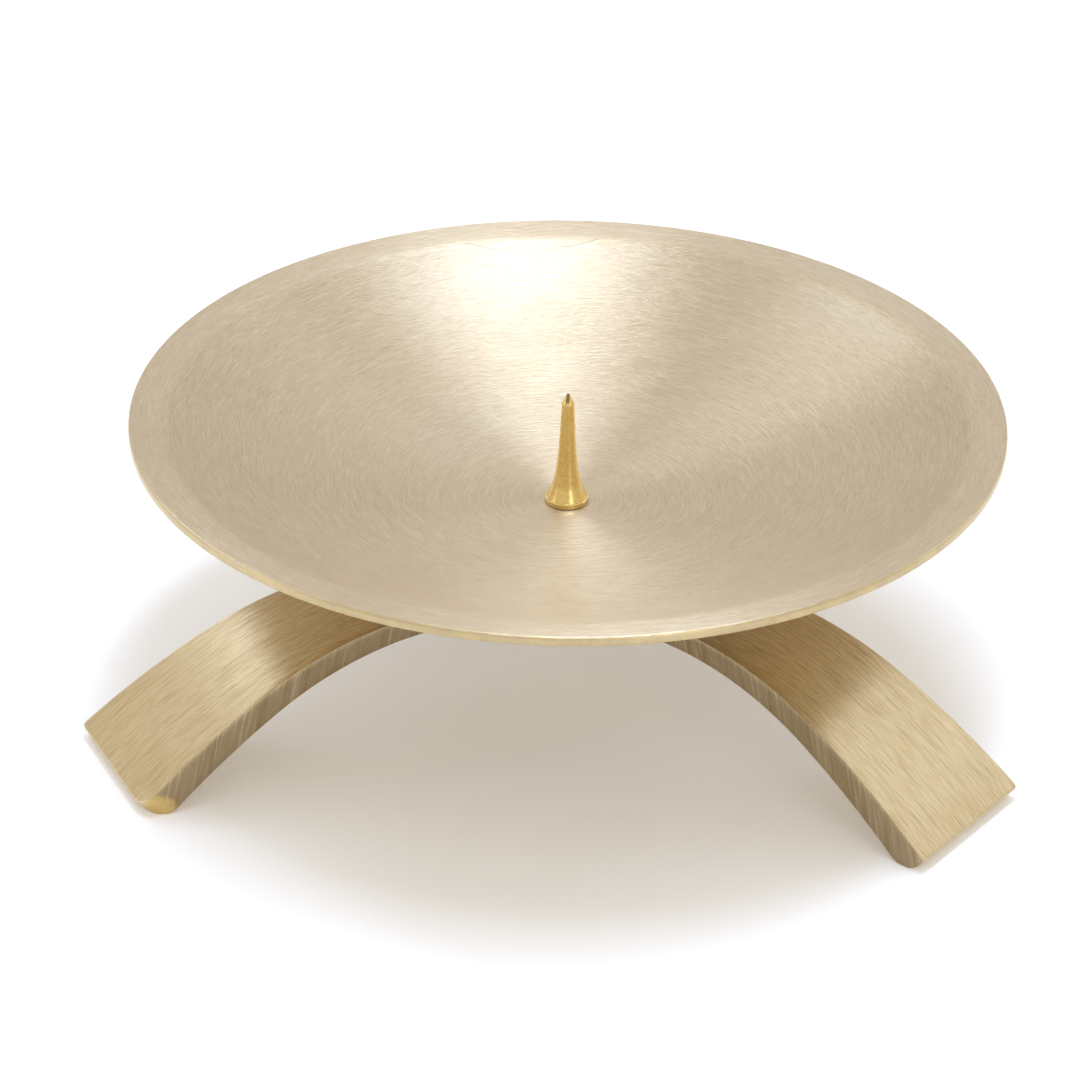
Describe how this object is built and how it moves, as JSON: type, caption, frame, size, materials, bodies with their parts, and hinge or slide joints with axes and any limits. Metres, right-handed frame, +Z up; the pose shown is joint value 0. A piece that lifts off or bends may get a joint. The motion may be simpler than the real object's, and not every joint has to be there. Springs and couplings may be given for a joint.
{
  "type": "candle holder",
  "caption": "Shallow round dish with an upright spike for a pillar candle, on a tripod of bent flat legs.",
  "frame": {"origin": "on the axis of the dish and spike, at the floor that the three feet stand on", "axes": "+Z up along the spike, +Y towards the rear leg, +X to the right seen from the front, between the two front legs"},
  "size_m": [0.16, 0.1593, 0.0567],
  "materials": {
    "dish_brass": "satin, brushed in circles",
    "spike_brass": "turned and polished",
    "leg_brass": "satin, brushed lengthwise",
    "hardware_brass": "turned"
  },
  "bodies": {
    "root": {"bowl": "dish_brass", "spike": "spike_brass", "spacer": "hardware_brass", "leg_rear": "leg_brass", "leg_left": "leg_brass", "leg_right": "leg_brass", "washer": "hardware_brass", "nut": "hardware_brass"}
  },
  "joints": []
}
